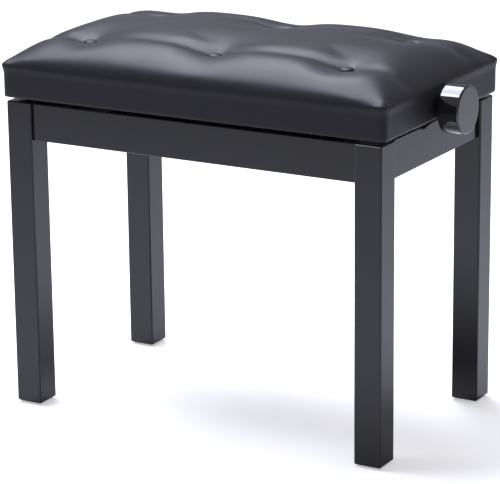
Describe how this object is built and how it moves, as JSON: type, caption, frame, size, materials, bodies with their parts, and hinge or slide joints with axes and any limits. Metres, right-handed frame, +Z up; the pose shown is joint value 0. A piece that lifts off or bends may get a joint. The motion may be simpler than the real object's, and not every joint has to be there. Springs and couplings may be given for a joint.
{
  "type": "piano bench",
  "caption": "Height-adjustable piano bench: gloss black legs and aprons, buttoned black padded seat on a screw-driven scissor lift with a turning knob at each end.",
  "frame": {"origin": "on the floor, at the middle of the bench's outline seen from above", "axes": "+X to the right along the seat and the drive screw, +Y to the back, +Z up"},
  "size_m": [0.618, 0.32, 0.498],
  "materials": {
    "black_lacquer": "high-gloss black lacquer on hardwood",
    "seat_leather": "semi-gloss black imitation leather, fine grain",
    "cushion_foam": "upholstery foam",
    "frame_wood": "black-stained softwood and plywood",
    "dowel_wood": "bare beech",
    "black_steel": "satin black powder coat",
    "zinc_steel": "zinc plated",
    "knob_plastic": "polished black moulded plastic",
    "bush_nylon": "natural nylon",
    "glide_plastic": "black nylon"
  },
  "bodies": {
    "base": {"leg_front_left": "black_lacquer", "leg_front_right": "black_lacquer", "leg_rear_left": "black_lacquer", "leg_rear_right": "black_lacquer", "front_apron": "black_lacquer", "rear_apron": "black_lacquer", "left_apron": "black_lacquer", "right_apron": "black_lacquer", "corner_bracket_front_left": "zinc_steel", "corner_bracket_front_right": "zinc_steel", "corner_bracket_rear_left": "zinc_steel", "corner_bracket_rear_right": "zinc_steel", "bracket_screws": "zinc_steel", "hanger_bolts": "zinc_steel", "bolt_washers": "zinc_steel", "wing_nuts": "zinc_steel", "apron_dowels": "dowel_wood", "foot_glides": "glide_plastic", "lower_rail_front": "black_steel", "lower_rail_rear": "black_steel", "lower_end_plate_left": "black_steel", "lower_end_plate_right": "black_steel", "end_plate_screws": "zinc_steel"},
    "outer_arms": {"outer_arm_front": "black_steel", "outer_arm_rear": "black_steel", "lower_pivot_shaft": "zinc_steel", "pivot_shaft_clips": "zinc_steel", "centre_pivot_pins": "zinc_steel"},
    "inner_arms": {"inner_arm_front": "black_steel", "inner_arm_rear": "black_steel", "sliding_shaft": "zinc_steel", "sliding_shaft_clips": "zinc_steel", "slide_bushes": "bush_nylon"},
    "nut_carriage": {"nut_bar": "black_steel", "nut_bar_bushes": "bush_nylon", "nut_bar_clips": "zinc_steel"},
    "seat": {"upper_rail_front": "black_steel", "upper_rail_rear": "black_steel", "rail_screws": "zinc_steel", "bearing_bar": "black_steel", "bearing_bar_clips": "zinc_steel", "seat_frame_front": "frame_wood", "seat_frame_rear": "frame_wood", "seat_frame_left": "frame_wood", "seat_frame_right": "frame_wood", "seat_frame_screws": "zinc_steel", "seat_board": "frame_wood", "seat_foam": "cushion_foam", "seat_cover": "seat_leather", "seat_buttons": "seat_leather", "button_washers": "zinc_steel", "screw_bush_left": "bush_nylon", "screw_bush_right": "bush_nylon"},
    "drive": {"drive_screw": "zinc_steel", "thrust_collars": "zinc_steel", "knob_left": "knob_plastic", "knob_right": "knob_plastic", "set_screws": "zinc_steel"}
  },
  "joints": [
    {"name": "seat_raise", "type": "hinge", "parent": "base", "child": "outer_arms", "pos_m": [-0.13797, 0, 0.379], "axis": [0, -1, 0], "range_deg": [0, 22.02]},
    {"name": "arms_cross", "type": "hinge", "parent": "outer_arms", "child": "inner_arms", "pos_m": [0, 0, 0.40275], "axis": [0, 1, 0], "range_deg": [0, 44.04]},
    {"name": "seat_level", "type": "hinge", "parent": "inner_arms", "child": "seat", "pos_m": [-0.13797, 0, 0.4265], "axis": [0, -1, 0], "range_deg": [0, 22.02]},
    {"name": "nut_level", "type": "hinge", "parent": "outer_arms", "child": "nut_carriage", "pos_m": [0.13797, 0, 0.4265], "axis": [0, 1, 0], "range_deg": [0, 22.02]},
    {"name": "knob_turn", "type": "hinge", "parent": "seat", "child": "drive", "pos_m": [0, 0, 0.4265], "axis": [1, 0, 0], "range_deg": [0, 4553.15]}
  ],
  "couplings": [
    {"joint": "arms_cross", "follows": "seat_raise", "ratio": 2},
    {"joint": "seat_level", "follows": "seat_raise", "ratio": 1},
    {"joint": "nut_level", "follows": "seat_raise", "ratio": 1},
    {"joint": "knob_turn", "follows": "seat_raise", "ratio": 206.75}
  ]
}
